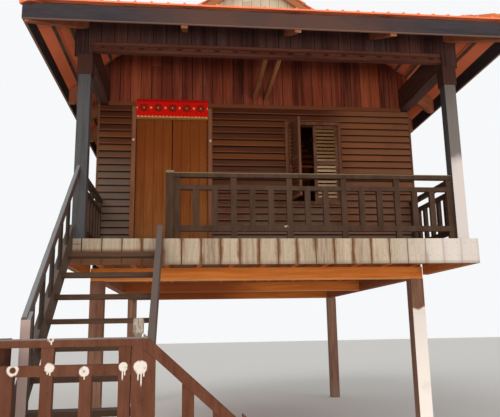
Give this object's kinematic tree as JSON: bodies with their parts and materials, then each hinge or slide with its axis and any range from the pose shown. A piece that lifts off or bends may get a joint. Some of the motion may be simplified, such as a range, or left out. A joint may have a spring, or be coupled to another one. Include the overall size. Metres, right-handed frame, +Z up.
{
  "type": "stilt house",
  "caption": "Timber house raised on posts, with a front veranda, an outside stair with a landing, a double door, a louvred window and a hipped clay tile roof with gablets.",
  "frame": {"origin": "centre of the footprint on the ground", "axes": "+Z up, the front with the stair and veranda faces -Y, +X to the right seen from the front"},
  "size_m": [5.58, 10.146, 6.9506],
  "materials": {
    "ground_posts": "aged, matte",
    "floor_girders": "aged, matte",
    "side_beams": "aged, matte",
    "floor_joists": "aged, matte",
    "house_floor": "aged, matte",
    "veranda_deck": "weathered bare boards",
    "deck_skirt": "weathered bare boards",
    "veranda_posts": "aged, matte",
    "balustrade_wood": "aged, matte",
    "weatherboard": "aged, matte",
    "vertical_boards": "aged, matte",
    "side_plates": "aged, matte",
    "front_tie_beam": "aged, matte",
    "front_frieze": "aged, matte",
    "ceiling_ties": "aged, matte",
    "door_frame": "aged, matte",
    "door_wood": "worn varnish",
    "door_banner": "printed cloth",
    "window_wood": "aged, matte",
    "stair_wood": "aged, matte",
    "stair_handrail": "aged, matte",
    "landing_rail_wood": "aged, matte",
    "roof_tiles": "fired clay tile, matte",
    "gablets": "painted boards, chalky",
    "ridge_and_hip_caps": "fired clay tile, matte",
    "fascia_boards": "aged, matte",
    "roof_rafters": "aged, matte"
  },
  "bodies": {
    "house": {"ground_posts": "ground_posts", "floor_girders": "floor_girders", "side_beams": "side_beams", "floor_joists": "floor_joists", "house_floor": "house_floor", "veranda_deck": "veranda_deck", "deck_skirt": "deck_skirt", "veranda_posts": "veranda_posts", "front_balustrade": "balustrade_wood", "side_balustrades": "balustrade_wood", "wall_left_of_door": "weatherboard", "wall_over_door": "vertical_boards", "wall_right_of_door": "weatherboard", "upper_front_wall": "vertical_boards", "left_wall": "weatherboard", "right_wall": "weatherboard", "rear_wall": "weatherboard", "upper_rear_wall": "vertical_boards", "side_plates": "side_plates", "front_tie_beam": "front_tie_beam", "front_frieze": "front_frieze", "ceiling_ties": "ceiling_ties", "door_frame": "door_frame", "door_banner": "door_banner", "window_frame": "window_wood", "open_window_leaf": "window_wood", "closed_window_leaf": "window_wood", "stair_stringers": "stair_wood", "stair_treads": "stair_wood", "stair_handrail": "stair_handrail", "landing": "stair_wood", "landing_balustrade": "landing_rail_wood", "lower_stringers": "stair_wood", "lower_treads": "stair_wood", "lower_handrail": "landing_rail_wood", "left_roof_slope": "roof_tiles", "right_roof_slope": "roof_tiles", "front_roof_slope": "roof_tiles", "rear_roof_slope": "roof_tiles", "gablets": "gablets", "ridge_and_hip_caps": "ridge_and_hip_caps", "fascia_boards": "fascia_boards", "roof_rafters": "roof_rafters"},
    "left_leaf": {"door_leaf_left": "door_wood"},
    "right_leaf": {"door_leaf_right": "door_wood"}
  },
  "joints": [
    {"name": "left_leaf_hinge", "type": "hinge", "parent": "house", "child": "left_leaf", "pos_m": [-1.754, -0.83, 2.5], "axis": [0, 0, 1], "range_deg": [0, 90]},
    {"name": "right_leaf_hinge", "type": "hinge", "parent": "house", "child": "right_leaf", "pos_m": [-0.738, -0.83, 2.5], "axis": [0, 0, 1], "range_deg": [-90, 0]}
  ]
}
